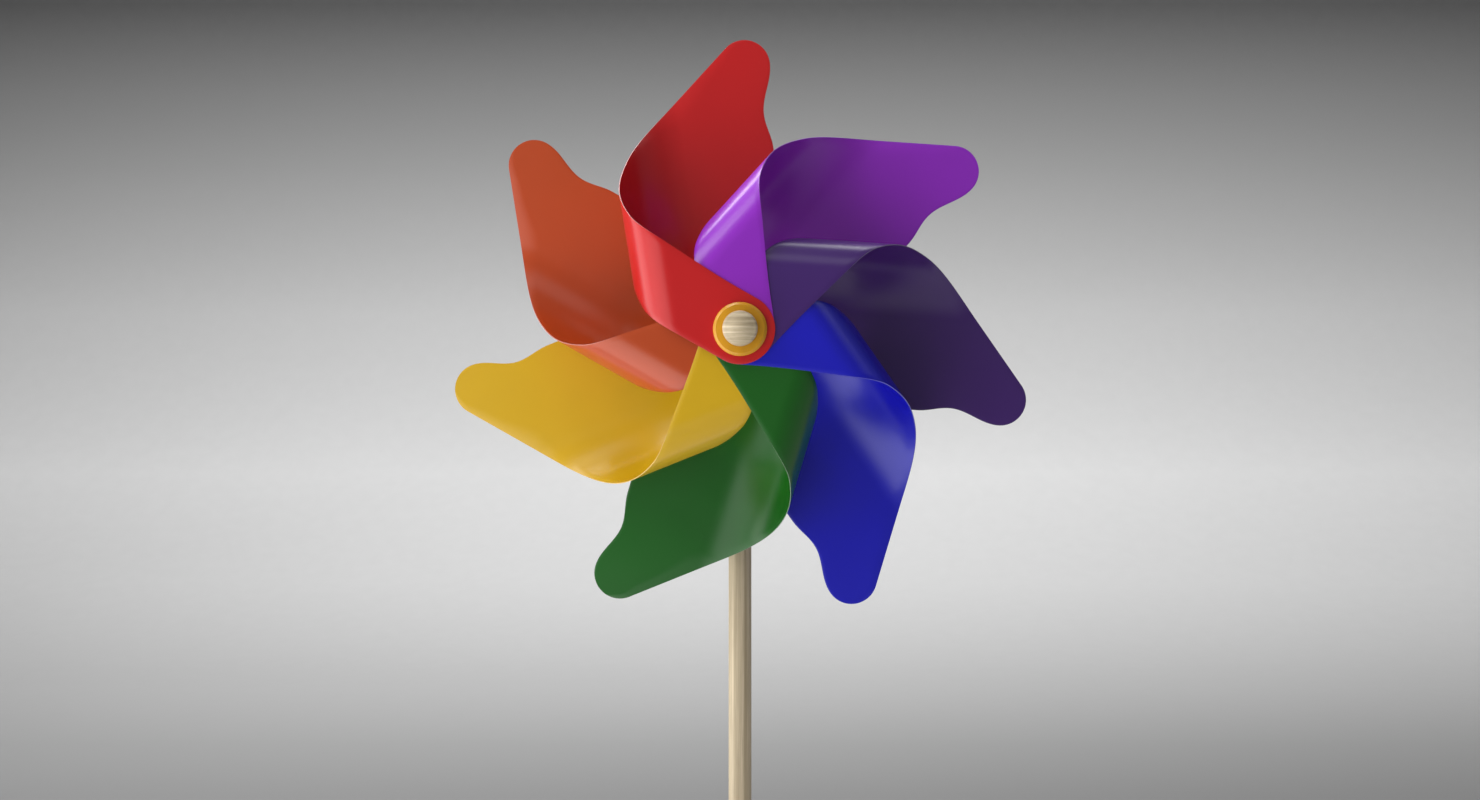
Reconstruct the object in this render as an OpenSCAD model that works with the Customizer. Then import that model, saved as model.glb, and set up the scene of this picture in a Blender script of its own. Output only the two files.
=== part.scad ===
// Seven-vane film pinwheel on a wooden stick.
// Origin at the centre of the stick's lower end, front faces -Y, up is +Z, millimetres.

/* [Stick] */
// diameter of the round wooden stick
stick_d = 10; // [8:0.5:14]
// full length of the stick
stick_len = 450; // [445:5:600]
// height of the wheel's axis above the stick's lower end
hub_z = 438; // [290:2:442]
// chamfer on both ends of the stick
stick_chamfer = 1; // [0.5:0.25:2]

/* [Axle and knob] */
// diameter of the wooden axle
axle_d = 6; // [4:0.5:8]
// diameter of the front knob
knob_d = 13.6; // [12:0.2:18]
// length of the front knob
knob_len = 9; // [8:0.5:14]
// how far the axle enters the knob
knob_bore = 5.5; // [4:0.5:8]
// diameter of the spacer between stick and wheel
spacer_d = 14; // [12:0.5:20]
// thickness of the spacer
spacer_len = 6; // [4:0.5:10]

/* [Hub] */
// diameter of the two clamping discs
disc_d = 21; // [18:0.5:28]
// thickness of the clamping discs
disc_t = 2.6; // [2:0.1:4]
// bevel round the outer face of a disc
disc_bevel = 1.1; // [0.5:0.1:1.6]
// outside diameter of the hub tube between the film stacks
tube_d = 12; // [10:0.5:15]
// diameter of the tube ends that carry the films and discs
tube_end_d = 8; // [7.5:0.25:9]
// radial running clearance between axle and hub tube
axle_fit = 0.05; // [0.02:0.01:0.1]

/* [Film] */
// thickness of the coloured film
film_t = 0.3; // [0.25:0.05:0.5]
// distance between two films in a stack
pitch = 0.42; // [0.4:0.02:0.8]
// distance between the rear and the front stack
loop_depth = 58.6; // [54:0.2:62]
// angle seen from the front of the red vane's bend direction
first_angle = 189; // [0:0.5:360]

/* [Vane outline] */
// radius of the rounded front tab
tab_r = 13.7; // [12:0.1:16]
// slope of the strip across the bend, degrees
strip_angle = 38.6; // [36:0.1:41]
// farthest reach of the bend from the axis
bend_reach = 39.5; // [38.5:0.5:43]
// length of flat front film before the bend
front_flat = 24; // [20:0.5:25]
// tight front bend radius
bend_r1 = 13; // [10:0.5:15]
// wide middle bend radius
bend_r2 = 45; // [43:1:52]
// flat rear film outside the axis
rear_flat = 11; // [9:0.5:14]
// radius of the round tip
tip_r = 11; // [9:0.5:14]
// sideways reach of the tip past the axis
tip_reach = 31; // [28:0.5:34]
// radius of the rear hub end
root_r = 10.5; // [9:0.5:12]
// how far the leading edge swells out beside the bend
lead_swell = 2.75; // [0:0.25:3]

/* [Hidden] */
$fn = 96;
vanes = 7;
// end play between turning and fixed pieces
gap = 0.3;
// play beside the films, round the glued axle and round the film holes
film_gap = 0.1;
glue_gap = 0.02;
hole_gap = 0.15;
// how far the tube's ends stay inside the discs
tube_inset = 0.2;
spacer_y = -stick_d / 2 - gap;
disc_rear_y = spacer_y - spacer_len - gap;
film_y = disc_rear_y - disc_t - film_gap - film_t / 2;
stack = (vanes - 1) * pitch;
disc_front_y = film_y - loop_depth - stack - film_t / 2 - film_gap;
knob_y = disc_front_y - disc_t - gap;
axle_tail = stick_d / 2 + 1;
axle_tip_y = knob_y - knob_bore + gap;
axle_chamfer = 0.5;
slope = tan(strip_angle);
edge0 = tab_r / cos(strip_angle);
turn2 = 180 - asin((front_flat - bend_reach + bend_r2) / (bend_r2 - bend_r1));
lean = rear_flat + bend_r2 - bend_reach;

// profile of one vane: total turn of the rear bend and its radius for a given depth
function rear_turn(h) = 2 * atan((bend_r2 + bend_r1 - (bend_r2 - bend_r1) * cos(turn2) - h) / lean);
function rear_r(h) = bend_r2 - lean / sin(rear_turn(h));
function arc1(h) = bend_r1 * (180 - turn2) * PI / 180;
function arc2(h) = bend_r2 * (turn2 - rear_turn(h)) * PI / 180;
function arc3(h) = rear_r(h) * rear_turn(h) * PI / 180;
function s1(h) = front_flat + arc1(h);
function s2(h) = s1(h) + arc2(h);
function s3(h) = s2(h) + arc3(h);
function s_hub(h) = s3(h) + rear_flat;

// direction of the film at arc length s, 0 on the front, 180 on the rear
function heading(s, h) =
    s <= front_flat ? 0 :
    s <= s1(h) ? (s - front_flat) / bend_r1 * 180 / PI :
    s <= s2(h) ? 180 - turn2 + (s - s1(h)) / bend_r2 * 180 / PI :
    s <= s3(h) ? 180 - rear_turn(h) + (s - s2(h)) / rear_r(h) * 180 / PI : 180;

// place of the film at arc length s: [reach, depth above the rear film]
function at_s(s, h) =
    let (a = heading(s, h))
    s <= front_flat ? [s, h] :
    s <= s1(h) ? [front_flat + bend_r1 * sin(a), h - bend_r1 * (1 - cos(a))] :
    s <= s2(h) ? [bend_reach - bend_r2 + bend_r2 * sin(a),
                  h - bend_r1 * (1 - cos(180 - turn2)) + bend_r2 * (cos(a) - cos(180 - turn2))] :
    s <= s3(h) ? [rear_flat + rear_r(h) * sin(a), rear_r(h) * (1 + cos(a))] :
    [s_hub(h) - s, 0];

// outline: tip circle centre measured from the rear hub, and where its two sides meet
tip_u = tip_r - tip_reach;
tip_meet = 116;
tip_end = 4;
function tip_v(h) = edge0 + slope * (s_hub(h) - tip_u) - tip_r / cos(strip_angle);
swell_from = -3;
swell_to = 75;
function swell(s) =
    s < swell_from || s > swell_to ? 0 :
    lead_swell * (1 - cos(360 * (s - swell_from) / (swell_to - swell_from))) / 2;
// leading edge of the strip
function upper(s) =
    s < -tab_r * sin(strip_angle) ? sqrt(tab_r * tab_r - s * s) : edge0 + slope * s + swell(s);
// other edge of the strip, down to the neck beside the rear hub
low_from = 48;
low_to = 84;
low_sag = slope / 2 / (low_to - low_from);
neck_w = 18;
neck_h = 24;
neck_u = -9;
neck_v = 35;
low_top = -edge0 + slope * low_to - low_sag * pow(low_to - low_from, 2);
function lower(s) =
    s < tab_r * sin(strip_angle) ? -sqrt(tab_r * tab_r - s * s) :
    s < low_from ? -edge0 + slope * s :
    s < low_to ? -edge0 + slope * s - low_sag * pow(s - low_from, 2) :
    low_top - neck_h + neck_h * sqrt(max(0, 1 - pow((s - low_to) / neck_w, 2)));

// stations along the bend where both ends share the same arc length
function bend_stations(h) = concat(
    [for (i = [1:6]) -tab_r * cos(90 * i / 7)],
    [for (i = [0:7]) front_flat * i / 8],
    [for (i = [0:9]) front_flat + arc1(h) * i / 9],
    [for (i = [1:10]) s1(h) + (low_to - s1(h)) * i / 10],
    [for (i = [1:9]) low_to + neck_w * sin(90 * i / 9.5)]);

function ease(a, b, t) = a + (b - a) * (1 - cos(180 * t)) / 2;
// trailing side of the flat rear part, from the hub round to the tip
root_from = -20;
shoulder_u = -26.8;
shoulder_v = 72;
crest_v = 78;
notch_u = -25;
notch_v = 91.6;
function root_pts() = concat(
    [for (i = [0:10]) let (a = root_from + (-180 - root_from) * i / 10) root_r * [cos(a), sin(a)]],
    [for (i = [1:3]) [-root_r + (neck_u + root_r) * i / 3, neck_v * i / 3]],
    [for (i = [1:7]) [ease(neck_u, shoulder_u, i / 7), neck_v + (shoulder_v - neck_v) * i / 7]],
    [[shoulder_u, crest_v]],
    [for (i = [1:4]) [ease(shoulder_u, notch_u, i / 4), crest_v + (notch_v - crest_v) * i / 4]]);
function trail_pts(h) = concat(root_pts(),
    [for (i = [1:6]) [ease(notch_u, -tip_reach, i / 6), notch_v + (tip_v(h) - notch_v) * i / 6]],
    [for (i = [1:7]) let (a = 180 + (tip_meet + tip_end - 180) * i / 7)
        [tip_u + tip_r * cos(a), tip_v(h) + tip_r * sin(a)]]);
// leading side of the flat rear part, same number of points
function lead_pts(h, n) =
    let (a = s_hub(h) - low_to - neck_w, b = tip_u + tip_r * sin(strip_angle), m = n - 8)
    concat([for (i = [1:m]) let (u = a + (b - a) * i / m) [u, edge0 + slope * (s_hub(h) - u)]],
           [for (i = [1:8]) let (c = 90 - strip_angle, d = c + (tip_meet - tip_end - c) * i / 8)
               [tip_u + tip_r * cos(d), tip_v(h) + tip_r * sin(d)]]);

// point on the inner or outer face of the film
function skin(s, v, side, h) =
    let (p = at_s(s, h), a = heading(s, h))
    [p[0] + side * film_t / 2 * sin(a), -(p[1] + side * film_t / 2 * cos(a)), -v];
function rail(s_low, v_low, s_up, v_up, h) =
    [skin(s_low, v_low, -1, h), skin(s_low, v_low, 1, h),
     skin(s_up, v_up, 1, h), skin(s_up, v_up, -1, h)];
function ring_faces(i) =
    let (a = 4 * i, b = 4 * i + 4)
    [for (j = [0:3]) let (k = (j + 1) % 4) each [[a + j, a + k, b + k], [a + j, b + k, b + j]]];

module film(h) {
    bend = bend_stations(h);
    trail = trail_pts(h);
    lead = lead_pts(h, len(trail));
    rows = concat(
        [for (s = bend) rail(s, lower(s), s, upper(s), h)],
        [for (i = [0:len(trail) - 1])
            rail(s_hub(h) - trail[i][0], trail[i][1], s_hub(h) - lead[i][0], lead[i][1], h)]);
    n = len(rows);
    polyhedron(
        points = [for (r = rows) each r],
        faces = concat([[3, 2, 1, 0]],
            [for (i = [0:n - 2]) each ring_faces(i)],
            [[4 * n - 4, 4 * n - 3, 4 * n - 2, 4 * n - 1]]),
        convexity = 8);
}

// one vane; place 0 is the front-most, counted clockwise from the front
module vane(place) {
    front = (vanes - 1 - place) * pitch;
    rear = ((place + 1) % vanes) * pitch;
    h = loop_depth + front - rear;
    translate([0, film_y - rear, hub_z])
        rotate([0, place * 360 / vanes - first_angle, 0])
            difference() {
                film(h);
                rotate([90, 0, 0])
                    translate([0, 0, -film_t])
                        cylinder(h = h + 2 * film_t, r = tube_end_d / 2 + hole_gap);
            }
}

// a turned piece standing on its rear face at y and growing towards the viewer
module on_axis(y) {
    translate([0, y, hub_z])
        rotate([90, 0, 0])
            children();
}

module stick() {
    color([0.86, 0.78, 0.6])
        difference() {
            rotate_extrude()
                polygon([[0, 0], [stick_d / 2 - stick_chamfer, 0], [stick_d / 2, stick_chamfer],
                         [stick_d / 2, stick_len - stick_chamfer],
                         [stick_d / 2 - stick_chamfer, stick_len], [0, stick_len]]);
            on_axis(stick_d)
                cylinder(h = 2 * stick_d, r = axle_d / 2 + glue_gap);
        }
}

module axle() {
    r = axle_d / 2;
    len = axle_tail - axle_tip_y;
    color([0.82, 0.72, 0.52])
        on_axis(axle_tail)
            rotate_extrude()
                polygon([[0, 0], [r - axle_chamfer, 0], [r, axle_chamfer], [r, len - axle_chamfer],
                         [r - axle_chamfer, len], [0, len]]);
}

// domed face with a rounded rim, blind hole for the axle at the back
module knob() {
    r = knob_d / 2;
    bevel = 0.6;
    dome = 1.6;
    edge = 2.2;
    edge_turn = 72;
    face_r = r - edge + edge * cos(edge_turn);
    drop = dome + edge - edge * sin(edge_turn);
    color([0.88, 0.8, 0.62])
        on_axis(knob_y)
            difference() {
                rotate_extrude()
                    polygon(concat(
                        [[0, 0], [r - bevel, 0], [r, bevel]],
                        [for (i = [0:6]) let (a = edge_turn * i / 6)
                            [r - edge + edge * cos(a), knob_len - dome - edge + edge * sin(a)]],
                        [for (i = [3:-1:0]) [face_r * i / 4, knob_len - drop * pow(i / 4, 2)]]));
                translate([0, 0, -1])
                    cylinder(h = knob_bore + 1, r = axle_d / 2 + glue_gap);
            }
}

module spacer() {
    bore = axle_d / 2 + glue_gap;
    r = spacer_d / 2;
    chamfer = 1;
    color([0.84, 0.74, 0.54])
        on_axis(spacer_y)
            rotate_extrude()
                polygon([[bore, 0], [r - chamfer, 0], [r, chamfer], [r, spacer_len - chamfer],
                         [r - chamfer, spacer_len], [bore, spacer_len]]);
}

// clamping disc, bevelled on the side away from the films
module disc(y, outward) {
    bore = tube_end_d / 2 + glue_gap;
    r = disc_d / 2;
    color([0.9, 0.62, 0.15])
        on_axis(outward > 0 ? y : y - disc_t)
            mirror([0, 0, outward > 0 ? 0 : 1])
                rotate_extrude()
                    polygon([[bore, 0], [r, 0], [r, disc_t - disc_bevel], [r - disc_bevel, disc_t],
                             [bore, disc_t]]);
}

module disc_rear() {
    disc(disc_rear_y, -1);
}

module disc_front() {
    disc(disc_front_y, 1);
}

// turns on the axle; its shoulders keep the two film stacks apart
module hub_tube() {
    bore = axle_d / 2 + axle_fit;
    r_end = tube_end_d / 2;
    r_mid = tube_d / 2;
    start_y = disc_rear_y - tube_inset;
    rear = start_y - (film_y - stack - film_t / 2 - film_gap);
    front = start_y - (film_y - loop_depth + film_t / 2 + film_gap);
    len = start_y - (disc_front_y - disc_t + tube_inset);
    color([0.85, 0.85, 0.82])
        on_axis(start_y)
            rotate_extrude()
                polygon([[bore, 0], [r_end, 0], [r_end, rear], [r_mid, rear], [r_mid, front],
                         [r_end, front], [r_end, len], [bore, len]]);
}

module vane_red() {
    color([0.75, 0.1, 0.1]) vane(0);
}

module vane_violet() {
    color([0.5, 0.17, 0.65]) vane(1);
}

module vane_indigo() {
    color([0.24, 0.15, 0.38]) vane(2);
}

module vane_blue() {
    color([0.12, 0.11, 0.6]) vane(3);
}

module vane_green() {
    color([0.13, 0.35, 0.13]) vane(4);
}

module vane_yellow() {
    color([0.85, 0.68, 0.14]) vane(5);
}

module vane_orange() {
    color([0.85, 0.38, 0.18]) vane(6);
}

stick();
axle();
knob();
spacer();
disc_rear();
disc_front();
hub_tube();
vane_red();
vane_violet();
vane_indigo();
vane_blue();
vane_green();
vane_yellow();
vane_orange();
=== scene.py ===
"""Pinwheel with seven curled film vanes on a wooden stick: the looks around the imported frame."""
import bpy
from math import asin, atan, ceil, cos, degrees, hypot, pi, radians, sin, sqrt, tan
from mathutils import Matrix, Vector


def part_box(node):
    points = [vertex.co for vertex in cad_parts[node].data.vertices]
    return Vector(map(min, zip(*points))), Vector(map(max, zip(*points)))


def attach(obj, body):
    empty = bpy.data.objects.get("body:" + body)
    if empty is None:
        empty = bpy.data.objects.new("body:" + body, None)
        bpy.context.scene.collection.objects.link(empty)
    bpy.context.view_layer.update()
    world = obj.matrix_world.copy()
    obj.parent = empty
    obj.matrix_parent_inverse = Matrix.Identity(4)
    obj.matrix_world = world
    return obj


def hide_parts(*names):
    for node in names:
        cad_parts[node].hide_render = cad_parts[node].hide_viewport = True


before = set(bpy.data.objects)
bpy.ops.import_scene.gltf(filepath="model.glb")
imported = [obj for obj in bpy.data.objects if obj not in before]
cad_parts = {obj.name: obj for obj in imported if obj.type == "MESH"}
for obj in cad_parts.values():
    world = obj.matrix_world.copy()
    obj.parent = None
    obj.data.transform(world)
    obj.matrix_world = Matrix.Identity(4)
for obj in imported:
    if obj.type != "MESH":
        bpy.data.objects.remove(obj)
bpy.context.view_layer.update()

MM = 0.001
COLLECTION = bpy.context.scene.collection

# ---------------------------------------------------------------------------
# Places, all from the frame, in metres. The front faces -Y.
# ---------------------------------------------------------------------------
disc_low, disc_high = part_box("disc_front")
rear_disc_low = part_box("disc_rear")[0]
HUB_X = (disc_low.x + disc_high.x) / 2
HUB_Z = (disc_low.z + disc_high.z) / 2
HUB_Y = disc_high.y

# ---------------------------------------------------------------------------
# Film vane, in millimetres, on the same shape as its CAD node: s runs along the
# film from the front hub over the bend to the rear hub, v runs along the bend,
# and u is the reach from the wheel's axis
# ---------------------------------------------------------------------------
# Films and their stacks. FIRST_ANGLE is the red vane's bend direction, seen from
# the front, in degrees.
FILM_T = 0.3
PITCH = 0.42
FILM_GAP = 0.1
LOOP_DEPTH = 58.6
FIRST_ANGLE = 189.0
HOLE_R = 4.15
# The curl: flat front film, a tight and a wide bend, a fitted one, flat rear film.
FRONT_FLAT = 24.0
BEND_R1 = 13.0
BEND_R2 = 45.0
REAR_FLAT = 11.0
BEND_REACH = 39.5
# The strip: its rounded tab in front, its slope across the bend, its leading
# edge, which swells out, and its other edge, which sags before the neck.
TAB_R = 13.7
STRIP_ANGLE = radians(38.6)
LEAD_SWELL = 2.75
SWELL_FROM, SWELL_TO = -3.0, 75.0
LOW_FROM, LOW_TO = 48.0, 84.0
# The flat rear part: neck, root round the hub, shoulder, notch and round tip.
NECK_W, NECK_H = 18.0, 24.0
NECK_U, NECK_V = -9.0, 35.0
ROOT_R = 10.5
SHOULDER_U, SHOULDER_V = -26.8, 72.0
CREST_V = 78.0
NOTCH_U, NOTCH_V = -25.0, 91.6
TIP_R = 11.0
TIP_REACH = 31.0

SLOPE = tan(STRIP_ANGLE)
EDGE0 = TAB_R / cos(STRIP_ANGLE)
LOW_SAG = SLOPE / 2 / (LOW_TO - LOW_FROM)
TIP_U = TIP_R - TIP_REACH
TURN2 = pi - asin((FRONT_FLAT - BEND_REACH + BEND_R2) / (BEND_R2 - BEND_R1))
LEAN = REAR_FLAT + BEND_R2 - BEND_REACH
REAR_FILM_Y = rear_disc_low.y / MM - FILM_GAP - FILM_T / 2

# Fineness of the film mesh. The TURNS are degrees round an arc of the outline.
ACROSS = 12
STRIP_STEP = 1.3
SIDE_POINTS = 120
EDGE_STEPS = 20
SHOULDER_STEPS = 30
CREST_STEPS = 16
TAB_TURNS = range(3, 88, 6)
NECK_TURNS = range(0, 87, 5)
ROOT_TURNS = range(-20, -181, -4)
TIP_TRAILING_TURNS = range(177, 116, -3)
TIP_LEADING_TURNS = range(3, 63, 3)


class Profile:
    """How one vane curls, for its own distance between the front and the rear film."""

    def __init__(self, depth):
        self.depth = depth
        rise = BEND_R2 + BEND_R1 - (BEND_R2 - BEND_R1) * cos(TURN2) - depth
        self.rear_turn = 2 * atan(rise / LEAN)
        self.rear_r = BEND_R2 - LEAN / sin(self.rear_turn)
        self.s1 = FRONT_FLAT + BEND_R1 * (pi - TURN2)
        self.s2 = self.s1 + BEND_R2 * (TURN2 - self.rear_turn)
        self.s3 = self.s2 + self.rear_r * self.rear_turn
        self.s_hub = self.s3 + REAR_FLAT
        self.tip_v = EDGE0 + SLOPE * (self.s_hub - TIP_U) - TIP_R / cos(STRIP_ANGLE)

    def at(self, s):
        """(reach, depth above the rear film, heading) at arc length s."""
        if s <= FRONT_FLAT:
            return s, self.depth, 0.0
        if s <= self.s1:
            a = (s - FRONT_FLAT) / BEND_R1
            return FRONT_FLAT + BEND_R1 * sin(a), self.depth - BEND_R1 * (1 - cos(a)), a
        if s <= self.s2:
            a = pi - TURN2 + (s - self.s1) / BEND_R2
            drop = BEND_R1 * (1 - cos(pi - TURN2))
            return (BEND_REACH - BEND_R2 + BEND_R2 * sin(a),
                    self.depth - drop + BEND_R2 * (cos(a) - cos(pi - TURN2)), a)
        if s <= self.s3:
            a = pi - self.rear_turn + (s - self.s2) / self.rear_r
            return REAR_FLAT + self.rear_r * sin(a), self.rear_r * (1 + cos(a)), a
        return self.s_hub - s, 0.0, pi


def upper_edge(s):
    """Leading edge of the strip, which swells out beside the bend."""
    if s < -TAB_R * sin(STRIP_ANGLE):
        return sqrt(max(0.0, TAB_R ** 2 - s ** 2))
    line = EDGE0 + SLOPE * s
    if not SWELL_FROM < s < SWELL_TO:
        return line
    wave = cos(2 * pi * (s - SWELL_FROM) / (SWELL_TO - SWELL_FROM))
    return line + LEAD_SWELL * (1 - wave) / 2


def lower_edge(s):
    """Other edge of the strip, down to the neck beside the rear hub."""
    if s < TAB_R * sin(STRIP_ANGLE):
        return -sqrt(max(0.0, TAB_R ** 2 - s ** 2))
    line = -EDGE0 + SLOPE * s
    if s < LOW_FROM:
        return line
    if s < LOW_TO:
        return line - LOW_SAG * (s - LOW_FROM) ** 2
    top = -EDGE0 + SLOPE * LOW_TO - LOW_SAG * (LOW_TO - LOW_FROM) ** 2
    return top - NECK_H + NECK_H * sqrt(max(0.0, 1 - ((s - LOW_TO) / NECK_W) ** 2))


def arc(centre, radius, angles):
    """Points of a circle at angles in degrees."""
    return [(centre[0] + radius * cos(radians(a)), centre[1] + radius * sin(radians(a)))
            for a in angles]


def eased(start, end, steps):
    """S-shaped line between two (u, v) points, which leaves and arrives along v."""
    return [(start[0] + (end[0] - start[0]) * (1 - cos(pi * (i / steps))) / 2,
             start[1] + (end[1] - start[1]) * i / steps) for i in range(steps + 1)]


def spread(points, count):
    """count points at equal distances along a polyline."""
    lengths = [0.0]
    for p, q in zip(points, points[1:]):
        lengths.append(lengths[-1] + hypot(q[0] - p[0], q[1] - p[1]))
    result = []
    i = 0
    for k in range(count):
        want = lengths[-1] * k / (count - 1)
        while i < len(points) - 2 and lengths[i + 1] < want:
            i += 1
        t = (want - lengths[i]) / max(1e-9, lengths[i + 1] - lengths[i])
        result.append((points[i][0] + (points[i + 1][0] - points[i][0]) * t,
                       points[i][1] + (points[i + 1][1] - points[i][1]) * t))
    return result


def trailing_side(profile):
    """From the neck round the rear hub, up the shoulder and notch to the tip, as (u, v)."""
    tip = (TIP_U, profile.tip_v)
    return ([(profile.s_hub - LOW_TO - NECK_W, lower_edge(LOW_TO + NECK_W))]
            + arc((0, 0), ROOT_R, ROOT_TURNS)
            + eased((NECK_U, NECK_V), (SHOULDER_U, SHOULDER_V), SHOULDER_STEPS)
            + eased((SHOULDER_U, CREST_V), (NOTCH_U, NOTCH_V), CREST_STEPS)
            + eased((NOTCH_U, NOTCH_V), (-TIP_REACH, profile.tip_v), EDGE_STEPS)[1:]
            + arc(tip, TIP_R, TIP_TRAILING_TURNS))


def leading_side(profile):
    """Leading edge of the flat rear part up to the tip, as (u, v)."""
    start_u = profile.s_hub - LOW_TO - NECK_W
    end_u = TIP_U + TIP_R * sin(STRIP_ANGLE)
    path = []
    for i in range(EDGE_STEPS + 1):
        run = (end_u - start_u) * i / EDGE_STEPS
        path.append((start_u + run, EDGE0 + SLOPE * (profile.s_hub - start_u - run)))
    tangent = 90 - degrees(STRIP_ANGLE)
    tip = (TIP_U, profile.tip_v)
    return path + arc(tip, TIP_R, [tangent + turn for turn in TIP_LEADING_TURNS])


def film_rails(profile):
    """Pairs of outline points (low, up), each as (s, v)."""
    count = ceil(LOW_TO / STRIP_STEP)
    stations = [-TAB_R * cos(radians(a)) for a in TAB_TURNS]
    stations += [LOW_TO * i / count for i in range(count)]
    stations += [LOW_TO + NECK_W * sin(radians(a)) for a in NECK_TURNS]
    rails = [((s, lower_edge(s)), (s, upper_edge(s))) for s in stations]
    low = spread(trailing_side(profile), SIDE_POINTS)
    up = spread(leading_side(profile), SIDE_POINTS)
    rails += [((profile.s_hub - a[0], a[1]), (profile.s_hub - b[0], b[1])) for a, b in zip(low, up)]
    return rails


# ---------------------------------------------------------------------------
# Mesh helpers
# ---------------------------------------------------------------------------
SMOOTH_ANGLE = 35


def shade(mesh, smooth_angle):
    """Smooth shading with sharp edges above an angle in degrees."""
    mesh.shade_smooth()
    mesh.set_sharp_from_angle(angle=radians(smooth_angle))


def add_object(name, verts, faces, materials, face_slots=None, smooth_angle=SMOOTH_ANGLE):
    """Object from plain lists. face_slots holds each face's material number."""
    mesh = bpy.data.meshes.new(name)
    mesh.from_pydata(verts, [], faces)
    for material in materials:
        mesh.materials.append(material)
    if face_slots:
        mesh.polygons.foreach_set("material_index", face_slots)
    mesh.update()
    shade(mesh, smooth_angle)
    obj = bpy.data.objects.new(name, mesh)
    COLLECTION.objects.link(obj)
    return obj


def freeze(obj):
    """Applies an object's modifiers."""
    graph = bpy.context.evaluated_depsgraph_get()
    mesh = bpy.data.meshes.new_from_object(obj.evaluated_get(graph))
    old = obj.data
    obj.modifiers.clear()
    obj.data = mesh
    bpy.data.meshes.remove(old)
    shade(mesh, SMOOTH_ANGLE)


def lathe(y_mm, profile, segments=128):
    """Turns (radius, depth towards the viewer) in millimetres about the wheel's axis.
    Returns vertices and faces."""
    verts = []
    for r, d in profile:
        for k in range(segments):
            a = 2 * pi * k / segments
            verts.append((HUB_X + r * cos(a) * MM, (y_mm - d) * MM, HUB_Z + r * sin(a) * MM))
    faces = []
    for i in range(len(profile) - 1):
        for k in range(segments):
            a, b = i * segments + k, i * segments + (k + 1) % segments
            faces.append((a, b, b + segments, a + segments))
    return verts, faces


# ---------------------------------------------------------------------------
# Materials. Noise scales are per metre, bump distances in metres.
# ---------------------------------------------------------------------------
# The part of 0 to 1 that a noise mostly covers
NOISE_SPAN = (0.3, 0.7)
# Radians per unit in Blender's wave texture at scale 1
WAVE_RATE = 20


def linear(rgb):
    """sRGB 0-255 to linear, by the sRGB standard's curve."""
    out = []
    for c in rgb:
        c = c / 255
        out.append(c / 12.92 if c <= 0.04045 else ((c + 0.055) / 1.055) ** 2.4)
    return (*out, 1.0)


def tinted(rgb, factor):
    """A colour made lighter or darker."""
    return tuple(min(1.0, c * factor) for c in rgb[:3]) + (1.0,)


class Nodes:
    """Short forms for building a node material."""

    def __init__(self, name):
        self.material = bpy.data.materials.new(name)
        self.material.use_nodes = True
        self.tree = self.material.node_tree
        self.shader = self.tree.nodes["Principled BSDF"]
        self.coord = self.tree.nodes.new("ShaderNodeTexCoord")

    def new(self, kind, **values):
        """Adds a node. A value goes to the attribute or the input of its name."""
        node = self.tree.nodes.new(kind)
        for key, value in values.items():
            if hasattr(node, key):
                setattr(node, key, value)
            else:
                node.inputs[key.replace("_", " ").title()].default_value = value
        return node

    def link(self, a, b):
        self.tree.links.new(a, b)

    def feed(self, socket, value):
        """Sets a constant on a socket, or links an output to it."""
        if isinstance(value, (float, int, tuple)):
            socket.default_value = value
        else:
            self.link(value, socket)

    def set(self, **values):
        """Feeds the shader's own sockets."""
        for key, value in values.items():
            self.feed(self.shader.inputs[key.replace("_", " ")], value)

    def stretched(self, scale):
        """Object coordinates with a scale for each axis."""
        node = self.new("ShaderNodeMapping")
        node.inputs["Scale"].default_value = scale
        self.link(self.coord.outputs["Object"], node.inputs["Vector"])
        return node.outputs["Vector"]

    def noise(self, scale, detail=3.0, roughness=0.5, vector=None, distortion=0.0):
        node = self.new("ShaderNodeTexNoise", scale=scale, detail=detail, roughness=roughness,
                        distortion=distortion)
        place = self.coord.outputs["Object"] if vector is None else vector
        self.link(place, node.inputs["Vector"])
        return node.outputs["Fac"]

    def ramp(self, fac, span, a, b):
        """Colour a below the span = (low, high) to colour b above it."""
        node = self.new("ShaderNodeValToRGB")
        node.color_ramp.elements[0].position = span[0]
        node.color_ramp.elements[1].position = span[1]
        node.color_ramp.elements[0].color = a
        node.color_ramp.elements[1].color = b
        self.link(fac, node.inputs["Fac"])
        return node.outputs["Color"]

    def range(self, fac, source, target):
        """Maps the span source = (low, high) to the span target, and clamps it."""
        node = self.new("ShaderNodeMapRange")
        node.inputs["From Min"].default_value, node.inputs["From Max"].default_value = source
        node.inputs["To Min"].default_value, node.inputs["To Max"].default_value = target
        self.link(fac, node.inputs["Value"])
        return node.outputs["Result"]

    def mix(self, fac, a, b):
        """Colour a where fac is 0, colour b where it is 1."""
        node = self.new("ShaderNodeMix", data_type="RGBA", blend_type="MIX")
        factor, colour_a, colour_b = node.inputs[0], node.inputs[6], node.inputs[7]
        self.feed(factor, fac)
        self.feed(colour_a, a)
        self.feed(colour_b, b)
        return node.outputs[2]

    def bump(self, height, strength, distance, normal=None):
        node = self.new("ShaderNodeBump", strength=strength, distance=distance)
        self.link(height, node.inputs["Height"])
        if normal is not None:
            self.link(normal, node.inputs["Normal"])
        return node.outputs["Normal"]


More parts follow.
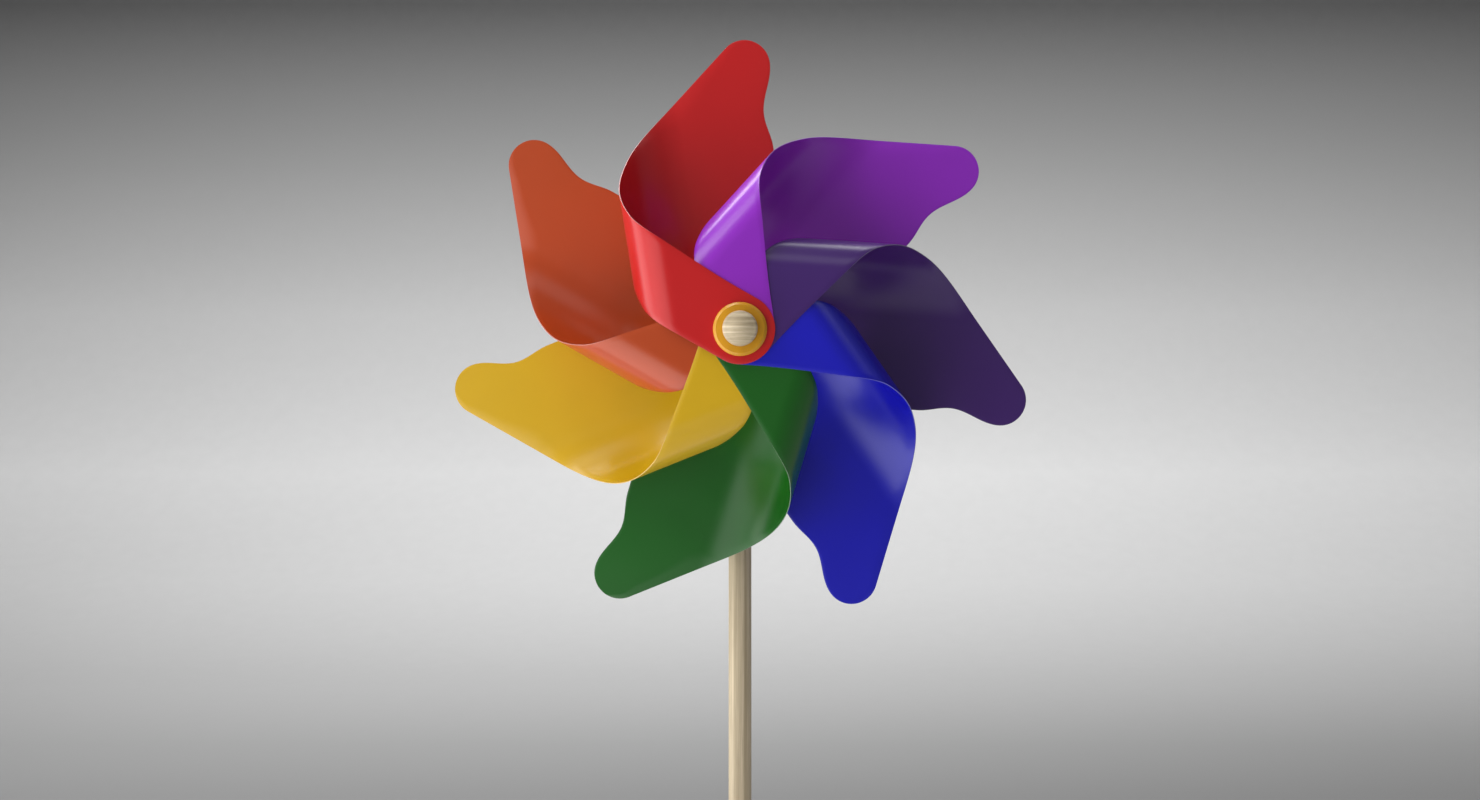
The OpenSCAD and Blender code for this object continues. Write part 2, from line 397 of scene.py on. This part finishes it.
def film_material(name, rgb):
    """Glossy coloured plastic film: faint clouding in the colour, a slow roll, a fine grain."""
    n = Nodes("film_" + name)
    base = linear(rgb)
    cloud = n.noise(scale=22.0, detail=2.0)
    tone = n.ramp(cloud, NOISE_SPAN, tinted(base, 0.95), tinted(base, 1.04))
    speck = n.noise(scale=3200.0, detail=2.0)
    tone = n.mix(n.range(speck, (0.4, 0.7), (0.0, 0.06)), tone, tinted(base, 1.15))
    smear = n.noise(scale=45.0)
    roll = n.noise(scale=14.0, detail=0.0)
    normal = n.bump(roll, strength=0.04, distance=0.001)
    normal = n.bump(speck, strength=0.04, distance=0.00003, normal=normal)
    n.set(Base_Color=tone, Roughness=n.range(smear, NOISE_SPAN, (0.28, 0.31)), Normal=normal,
          Specular_IOR_Level=0.55)
    return n.material


def film_edge_material(name, rgb):
    """Cut edge of the film, with a painted highlight: made lighter where its thickness catches the
    light.
    """
    n = Nodes("film_edge_" + name)
    # Painted highlight: the edge colour is mixed part way towards white.
    white, share = 0.8, 0.22
    painted_edge_highlight = tuple(c + (white - c) * share for c in linear(rgb)[:3]) + (1.0,)
    cut = n.noise(scale=1800.0, detail=2.0)
    n.set(Base_Color=n.ramp(cut, NOISE_SPAN, tinted(painted_edge_highlight, 0.9), painted_edge_highlight),
          Roughness=n.range(cut, NOISE_SPAN, (0.35, 0.5)))
    return n.material


def wood_material(name, light, dark, grain_scale, band_scale, contrast=1.0, ring_step=0.0):
    """Bare wood: fine fibres drawn out along one axis, broader tone bands and small pores.
    With a ring step in metres, darker year rings cross the end at that distance."""
    n = Nodes(name)
    light, dark = linear(light), linear(dark)
    fibre = n.noise(scale=1.0, detail=5.0, roughness=0.65, vector=n.stretched(grain_scale),
                    distortion=0.15)
    band = n.noise(scale=1.0, detail=2.0, vector=n.stretched(band_scale), distortion=0.6)
    tone = n.ramp(band, (0.35, 0.68), dark, light)
    streak = n.range(fibre, (0.42, 0.62), (0.0, 0.4 * contrast))
    tone = n.mix(streak, tone, tinted(dark, 0.75))
    if ring_step:
        rings = n.new("ShaderNodeTexWave", bands_direction="Z",
                      scale=2 * pi / (WAVE_RATE * ring_step), distortion=1.2, detail=2.0,
                      detail_scale=0.5)
        n.link(n.stretched((0.25, 0.25, 1.0)), rings.inputs["Vector"])
        ring = n.range(rings.outputs["Fac"], (0.62, 1.0), (0.0, 0.5))
        tone = n.mix(ring, tone, tinted(dark, 0.8))
    pore_scale = tuple(c * 2.6 for c in grain_scale)
    pore = n.noise(scale=1.0, detail=2.0, vector=n.stretched(pore_scale))
    pit = n.range(pore, (0.62, 0.72), (0.0, 0.45 * contrast))
    tone = n.mix(pit, tone, tinted(dark, 0.5))
    normal = n.bump(fibre, strength=0.35, distance=0.00012)
    normal = n.bump(pore, strength=0.2, distance=0.00008, normal=normal)
    n.set(Base_Color=tone, Roughness=n.range(fibre, NOISE_SPAN, (0.5, 0.68)), Normal=normal,
          Specular_IOR_Level=0.35)
    return n.material


def plastic_material(name, rgb, rough=0.32):
    """Moulded plastic with a faint texture."""
    n = Nodes(name)
    base = linear(rgb)
    cloud = n.noise(scale=180.0)
    fine = n.noise(scale=2200.0, detail=2.0)
    n.set(Base_Color=n.ramp(cloud, NOISE_SPAN, tinted(base, 0.93), tinted(base, 1.06)),
          Roughness=n.range(fine, NOISE_SPAN, (rough - 0.04, rough + 0.06)),
          Normal=n.bump(fine, strength=0.12, distance=0.00008))
    return n.material


# ---------------------------------------------------------------------------
# Film vanes, clockwise from the front-most one
# ---------------------------------------------------------------------------
VANES = [
    ("red", (190, 20, 22)),
    ("violet", (141, 38, 188)),
    ("indigo", (62, 30, 102)),
    ("blue", (14, 14, 178)),
    ("green", (13, 88, 13)),
    ("yellow", (204, 163, 14)),
    ("orange", (176, 66, 22)),
]
# A film's material numbers
SKIN, EDGE = 0, 1
# Hole cutter, in millimetres: from behind the rear film to the front of the hub
CUTTER_SIDES = 64
CUTTER_BEHIND = 5
CUTTER_LENGTH = LOOP_DEPTH + 12
# Rounding of a film's edges, in millimetres, where faces meet at more degrees than this
EDGE_ROUND = 0.05
EDGE_ROUND_ABOVE = 50


def front_level(place):
    """How far a vane's front film lies in front of the rearmost one of its stack."""
    return (len(VANES) - 1 - place) * PITCH


def rear_level(place):
    """The same for its rear film. The rear stack's order is shifted by one place."""
    return ((place + 1) % len(VANES)) * PITCH


def film_body(name, place, materials):
    """One vane's solid film, before its holes are cut."""
    profile = Profile(LOOP_DEPTH + front_level(place) - rear_level(place))
    rails = film_rails(profile)
    turn = radians(FIRST_ANGLE - place * 360 / len(VANES))

    def point(s, v, side):
        """Place on the film's front (side 1) or back (side -1)."""
        u, w, a = profile.at(s)
        u += side * FILM_T / 2 * sin(a)
        w += side * FILM_T / 2 * cos(a)
        x = u * cos(turn) + v * sin(turn)
        z = u * sin(turn) - v * cos(turn)
        return (HUB_X + x * MM, (REAR_FILM_Y - rear_level(place) - w) * MM, HUB_Z + z * MM)

    verts = []
    row = ACROSS + 1
    for low, up in rails:
        for side in (1, -1):
            for j in range(row):
                t = j / ACROSS
                s, v = low[0] + (up[0] - low[0]) * t, low[1] + (up[1] - low[1]) * t
                verts.append(point(s, v, side))
    faces, slots = [], []

    def quad(a, b, c, d, slot):
        faces.append((a, b, c, d))
        slots.append(slot)

    for i in range(len(rails) - 1):
        a, b = i * 2 * row, (i + 1) * 2 * row
        for j in range(ACROSS):
            quad(a + j, a + j + 1, b + j + 1, b + j, SKIN)
            quad(a + row + j + 1, a + row + j, b + row + j, b + row + j + 1, SKIN)
        quad(a + row, a, b, b + row, EDGE)
        quad(a + ACROSS, a + row + ACROSS, b + row + ACROSS, b + ACROSS, EDGE)
    last = (len(rails) - 1) * 2 * row
    for j in range(ACROSS):
        quad(j + 1, j, row + j, row + j + 1, EDGE)
        quad(last + j, last + j + 1, last + row + j + 1, last + row + j, EDGE)
    return add_object("film_" + name, verts, faces, materials, slots)


def punch_holes(obj, materials):
    """Cuts the two hub holes with one round cutter, and softens the film's edges."""
    verts, faces = lathe(REAR_FILM_Y + CUTTER_BEHIND, [(HOLE_R, 0), (HOLE_R, CUTTER_LENGTH)],
                         CUTTER_SIDES)
    faces.append(tuple(range(CUTTER_SIDES - 1, -1, -1)))
    faces.append(tuple(range(CUTTER_SIDES, 2 * CUTTER_SIDES)))
    cutter = add_object("cutter", verts, faces, materials, [EDGE] * len(faces))
    cut = obj.modifiers.new("holes", "BOOLEAN")
    cut.object = cutter
    cut.solver = "EXACT"
    bevel = obj.modifiers.new("soft_edge", "BEVEL")
    bevel.width = EDGE_ROUND * MM
    bevel.segments = 2
    bevel.limit_method = "ANGLE"
    bevel.angle_limit = radians(EDGE_ROUND_ABOVE)
    bevel.material = EDGE
    freeze(obj)
    bpy.data.objects.remove(cutter)


for place, (colour, rgb) in enumerate(VANES):
    materials = [film_material(colour, rgb), film_edge_material(colour, rgb)]
    vane = film_body(colour, place, materials)
    punch_holes(vane, materials)
    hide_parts("vane_" + colour)
    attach(vane, "wheel")

# ---------------------------------------------------------------------------
# Hub: new discs, and better materials on the CAD nodes that stay
# ---------------------------------------------------------------------------
AMBER = plastic_material("amber_plastic", (206, 146, 18))
WHITE = plastic_material("tube_plastic", (205, 205, 198), rough=0.42)
KNOB_WOOD = wood_material("knob_wood", (224, 208, 178), (176, 158, 128), (60, 60, 900),
                          (40, 40, 520), contrast=0.9, ring_step=0.0021)
AXLE_WOOD = wood_material("axle_wood", (226, 200, 150), (188, 158, 108), (900, 60, 900),
                          (300, 12, 300))
SPACER_WOOD = wood_material("spacer_wood", (224, 200, 156), (182, 152, 104), (70, 900, 900),
                            (30, 300, 300))
STICK_WOOD = wood_material("stick_wood", (204, 188, 160), (162, 146, 118), (1300, 1300, 22),
                           (420, 420, 5))
NODE_MATERIALS = [
    ("hub_tube", WHITE),
    ("stick", STICK_WOOD),
    ("axle", AXLE_WOOD),
    ("spacer", SPACER_WOOD),
    ("knob", KNOB_WOOD),
]

# Disc, in millimetres: small chamfers at the films and the bore, rounded edges
# on both sides of the bevel
DISC_BORE_R = 4.02
DISC_BEVEL = 1.1
CHAMFER = 0.15
RIM_R = 0.25
RIM_DROP = 0.1
FACE_R = 0.2
FACE_INSET = 0.05
RIM_TURNS = (0, 10.5, 21, 31.5, 42)
FACE_TURNS = (48, 58.5, 69, 79.5, 90)


def disc_profile(thickness, outer):
    """(radius, depth) round the disc's section, starting and ending in its bore."""
    bore = DISC_BORE_R
    rim = (outer - RIM_R, thickness - DISC_BEVEL - RIM_DROP)
    face = (outer - DISC_BEVEL - FACE_INSET, thickness - FACE_R)
    return ([(bore, CHAMFER), (bore + CHAMFER, 0), (outer - CHAMFER, 0), (outer, CHAMFER)]
            + arc(rim, RIM_R, RIM_TURNS)
            + arc(face, FACE_R, FACE_TURNS)
            + [(bore + FACE_R, thickness), (bore, thickness - FACE_R), (bore, CHAMFER)])


def make_disc(name, node, facing, material):
    """Clamping disc in its CAD node's box. facing is 1 for a bevel towards the viewer, else -1."""
    low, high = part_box(node)
    thickness = (high.y - low.y) / MM
    outer = (high.x - low.x) / 2 / MM
    start = high.y / MM if facing > 0 else low.y / MM
    verts, faces = lathe(start, [(r, d * facing) for r, d in disc_profile(thickness, outer)])
    if facing < 0:
        faces = [tuple(reversed(f)) for f in faces]
    obj = add_object(name, verts, faces, [material])
    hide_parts(node)
    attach(obj, "wheel")


make_disc("amber_disc_front", "disc_front", 1, AMBER)
make_disc("amber_disc_rear", "disc_rear", -1, AMBER)
for node, material in NODE_MATERIALS:
    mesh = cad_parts[node].data
    mesh.materials.clear()
    mesh.materials.append(material)

# ---------------------------------------------------------------------------
# Stage, in metres: floor that curves up into a back wall well behind the object
# ---------------------------------------------------------------------------
WALL_Y = 2.6
WALL_CURVE = 1.0
WALL_TOP = 4.5
STAGE_HALF = 7.0
FLOOR_STATIONS = (-6.0, -2.0, 0.0, WALL_Y - WALL_CURVE)
CURVE_TURNS = range(5, 91, 5)
# Grey of the paper where Y + Z is so much, with light and shade painted in: a pale floor in
# front, painted shade on the floor behind the object, a painted band of light further back
# and painted shade towards the top
PAPER_PAINTED_LIGHT = [(0.2, 0.62), (0.9, 0.26), (1.15, 0.36), (1.5, 0.54), (2.1, 0.8), (2.55, 0.9),
               (3.1, 0.68), (3.44, 0.44), (3.66, 0.27), (3.86, 0.11)]


def sweep_material():
    """Studio paper, its grey graded to paint in light and shade."""
    n = Nodes("studio_paper")
    split = n.new("ShaderNodeSeparateXYZ")
    n.link(n.coord.outputs["Object"], split.inputs["Vector"])
    along = n.new("ShaderNodeMath", operation="ADD")
    n.link(split.outputs["Y"], along.inputs[0])
    n.link(split.outputs["Z"], along.inputs[1])
    # This ramp paints light and shade onto the paper along Y + Z.
    ramp = n.new("ShaderNodeValToRGB")
    start, end = PAPER_PAINTED_LIGHT[0][0], PAPER_PAINTED_LIGHT[-1][0]
    elements = ramp.color_ramp.elements
    while len(elements) < len(PAPER_PAINTED_LIGHT):
        elements.new(0.5)
    for element, (place, grey) in zip(elements, PAPER_PAINTED_LIGHT):
        element.position = (place - start) / (end - start)
        element.color = (grey, grey, grey, 1)
    n.link(n.range(along.outputs["Value"], (start, end), (0.0, 1.0)), ramp.inputs["Fac"])
    grain = n.range(n.noise(scale=40.0), NOISE_SPAN, (0.0, 0.03))
    n.set(Base_Color=n.mix(grain, ramp.outputs["Color"], (0.3, 0.3, 0.3, 1)), Roughness=0.85,
          Specular_IOR_Level=0.1)
    return n.material


def make_sweep():
    """The paper, as one strip of faces from the front edge of the floor to the wall's top."""
    line = [(y, 0.0) for y in FLOOR_STATIONS]
    line += [(WALL_Y - WALL_CURVE + WALL_CURVE * sin(radians(a)),
              WALL_CURVE - WALL_CURVE * cos(radians(a))) for a in CURVE_TURNS]
    line += [(WALL_Y, WALL_TOP)]
    verts = [(x, y, z) for y, z in line for x in (-STAGE_HALF, STAGE_HALF)]
    faces = [(2 * i, 2 * i + 1, 2 * i + 3, 2 * i + 2) for i in range(len(line) - 1)]
    obj = add_object("sweep", verts, faces, [sweep_material()], smooth_angle=60)


make_sweep()

# ---------------------------------------------------------------------------
# Lights, in metres, degrees and watts
# ---------------------------------------------------------------------------
# Name, azimuth, elevation, distance from the hub, size and power. Azimuth 0 is in
# front, and negative to the viewer's left.
SOFTBOXES = [
    ("wall_left", -98, 4, 1.5, (1.1, 0.8), 5.6),
    ("wall_front_left", -46, -2, 1.5, (1.5, 0.8), 5.6),
    ("low_left", -85, -20, 1.1, (0.8, 0.4), 2.5),
    ("high_left", -70, 35, 1.5, (1.0, 0.6), 9),
    ("rim_back_left", -150, 45, 1.5, (0.7, 0.7), 10),
    ("top_left", -90, 72, 1.4, (0.6, 0.6), 8),
    ("top_back", 180, 55, 1.5, (0.7, 0.7), 3.5),
    ("high_front", -15, 55, 1.5, (1.4, 0.7), 3.2),
    ("high_right", 70, 45, 1.5, (0.7, 0.7), 1.2),
    ("panel_front", 0, 14, 2.5, (3.0, 0.9), 0.8),
]
WORLD_GREY = 0.5
WORLD_STRENGTH = 0.37


def area_light(name, place, direction, size, power):
    """Rectangular light that the camera doesn't see."""
    data = bpy.data.lights.new(name, "AREA")
    data.shape = "RECTANGLE"
    data.size, data.size_y = size
    data.energy = power
    obj = bpy.data.objects.new(name, data)
    obj.location = place
    obj.rotation_mode = "QUATERNION"
    obj.rotation_quaternion = direction.to_track_quat("-Z", "Y")
    obj.visible_camera = False
    COLLECTION.objects.link(obj)


def softbox(name, azimuth, elevation, distance, size, power):
    """Light aimed at the hub."""
    turn, rise = radians(azimuth), radians(elevation)
    towards = Vector((sin(turn) * cos(rise), -cos(turn) * cos(rise), sin(rise)))
    area_light(name, Vector((HUB_X, HUB_Y, HUB_Z)) + towards * distance, -towards, size, power)


for settings in SOFTBOXES:
    softbox(*settings)
area_light("floor_glow", place=(-0.62, -0.6, 0.03), direction=Vector((0, 0, 1)),
           size=(1.1, 1.1), power=5.8)
area_light("backdrop", place=(0, 1.3, 1.9), direction=Vector((0, 1.3, -1.6)),
           size=(3.8, 0.3), power=24)

world = bpy.data.worlds.new("studio")
bpy.context.scene.world = world
world.use_nodes = True
background = world.node_tree.nodes["Background"]
background.inputs["Color"].default_value = (WORLD_GREY, WORLD_GREY, WORLD_GREY, 1)
background.inputs["Strength"].default_value = WORLD_STRENGTH

bpy.context.scene.view_settings.view_transform = "Standard"

# ---------------------------------------------------------------------------
# Camera: level, in front of the wheel. Lens and sensor in millimetres, its
# distance from the rear film and its drop below the hub in metres.
# ---------------------------------------------------------------------------
LENS = 37.0
SENSOR_WIDTH = 36.0
CAMERA_DISTANCE = 0.6536
CAMERA_DROP = 0.0276
camera_data = bpy.data.cameras.new("camera")
camera_data.lens = LENS
camera_data.sensor_width = SENSOR_WIDTH
camera = bpy.data.objects.new("camera", camera_data)
camera.location = (HUB_X, REAR_FILM_Y * MM - CAMERA_DISTANCE, HUB_Z - CAMERA_DROP)
camera.rotation_euler = (radians(90), 0, 0)
COLLECTION.objects.link(camera)
bpy.context.scene.camera = camera
